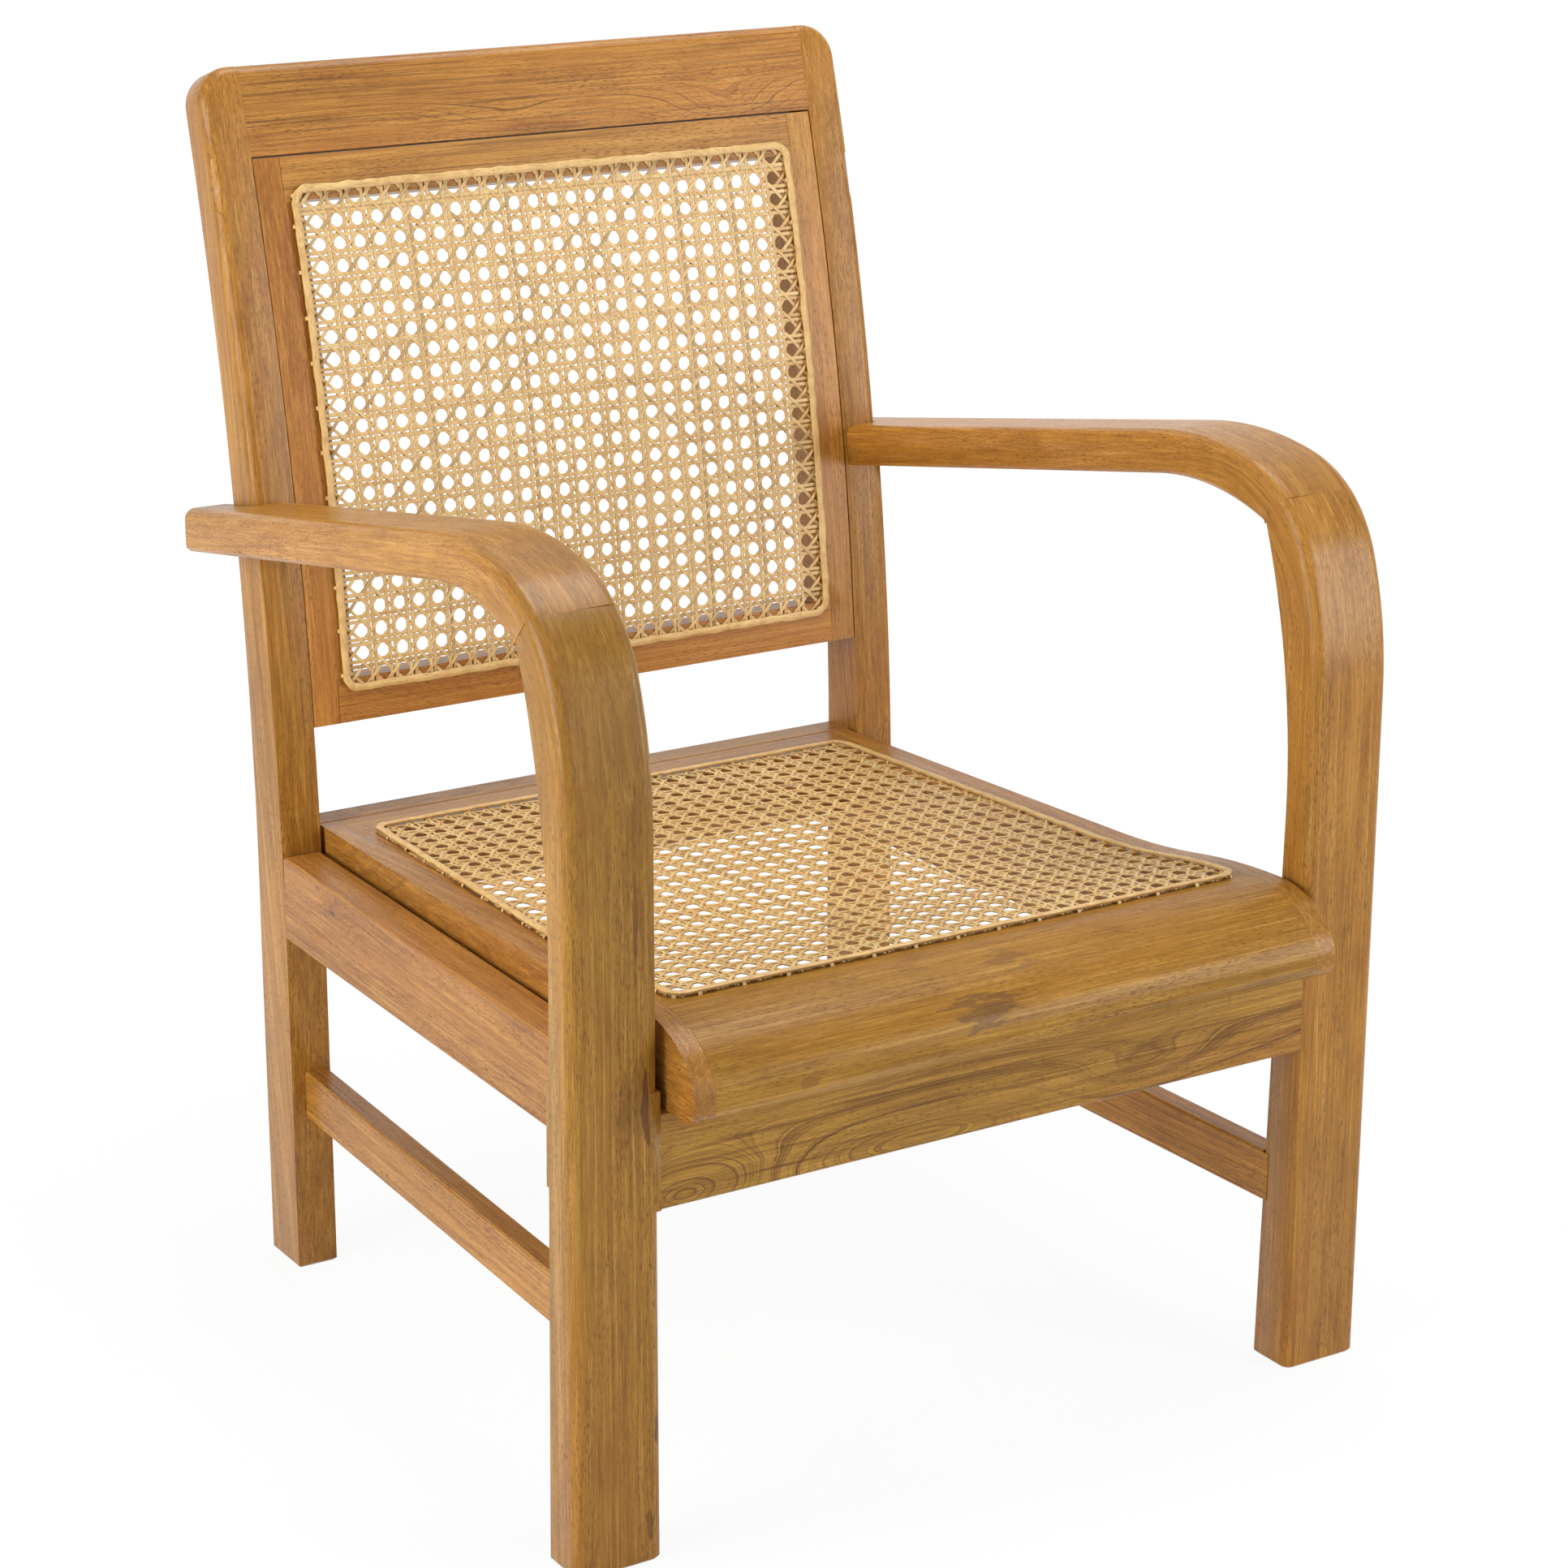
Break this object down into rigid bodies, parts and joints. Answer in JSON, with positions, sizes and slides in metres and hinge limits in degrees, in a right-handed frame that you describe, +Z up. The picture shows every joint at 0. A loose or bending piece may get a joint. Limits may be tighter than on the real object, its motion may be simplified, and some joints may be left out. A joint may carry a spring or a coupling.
{
  "type": "planters chair",
  "caption": "Low hardwood armchair with bentwood-look arms that curve down into the front legs, a leaning caned back panel and a lift-off caned seat with a rolled front.",
  "frame": {"origin": "on the floor, under the middle of the chair's bounding box", "axes": "+X to the right seen from the front, +Y from the sitter's knees to the back, +Z up"},
  "size_m": [0.629, 0.6738, 0.8682],
  "materials": {
    "frame_wood": "satin lacquered golden hardwood",
    "panel_wood": "satin lacquered golden hardwood",
    "seat_wood": "satin lacquered golden hardwood",
    "bearer_wood": "unpolished hardwood",
    "tongue_wood": "raw hardwood",
    "cane": "natural woven cane",
    "cane_binder": "natural split cane"
  },
  "bodies": {
    "frame": {"arm_left": "frame_wood", "arm_right": "frame_wood", "arm_tongues": "tongue_wood", "back_cane": "cane", "back_cane_binder": "cane_binder", "back_panel_bottom_rail": "panel_wood", "back_panel_stile_left": "panel_wood", "back_panel_stile_right": "panel_wood", "back_panel_top_rail": "panel_wood", "bearer_pins": "tongue_wood", "crest_rail": "frame_wood", "front_apron": "frame_wood", "front_leg_left": "frame_wood", "front_leg_right": "frame_wood", "mitre_tongues": "tongue_wood", "panel_tongues": "tongue_wood", "rear_post_left": "frame_wood", "rear_post_right": "frame_wood", "rear_seat_rail": "frame_wood", "seat_bearer_left": "bearer_wood", "seat_bearer_rear": "bearer_wood", "seat_bearer_right": "bearer_wood", "side_apron_left": "frame_wood", "side_apron_right": "frame_wood", "side_stretcher_left": "frame_wood", "side_stretcher_right": "frame_wood"},
    "seat": {"seat_rail_left": "seat_wood", "seat_rail_right": "seat_wood", "seat_front_roll": "seat_wood", "seat_back_rail": "seat_wood", "seat_cane": "cane", "seat_cane_binder": "cane_binder"}
  },
  "joints": [
    {"name": "seat_lift", "type": "slide", "parent": "frame", "child": "seat", "axis": [0, 0, 1], "range_m": [0, 0.06]}
  ]
}
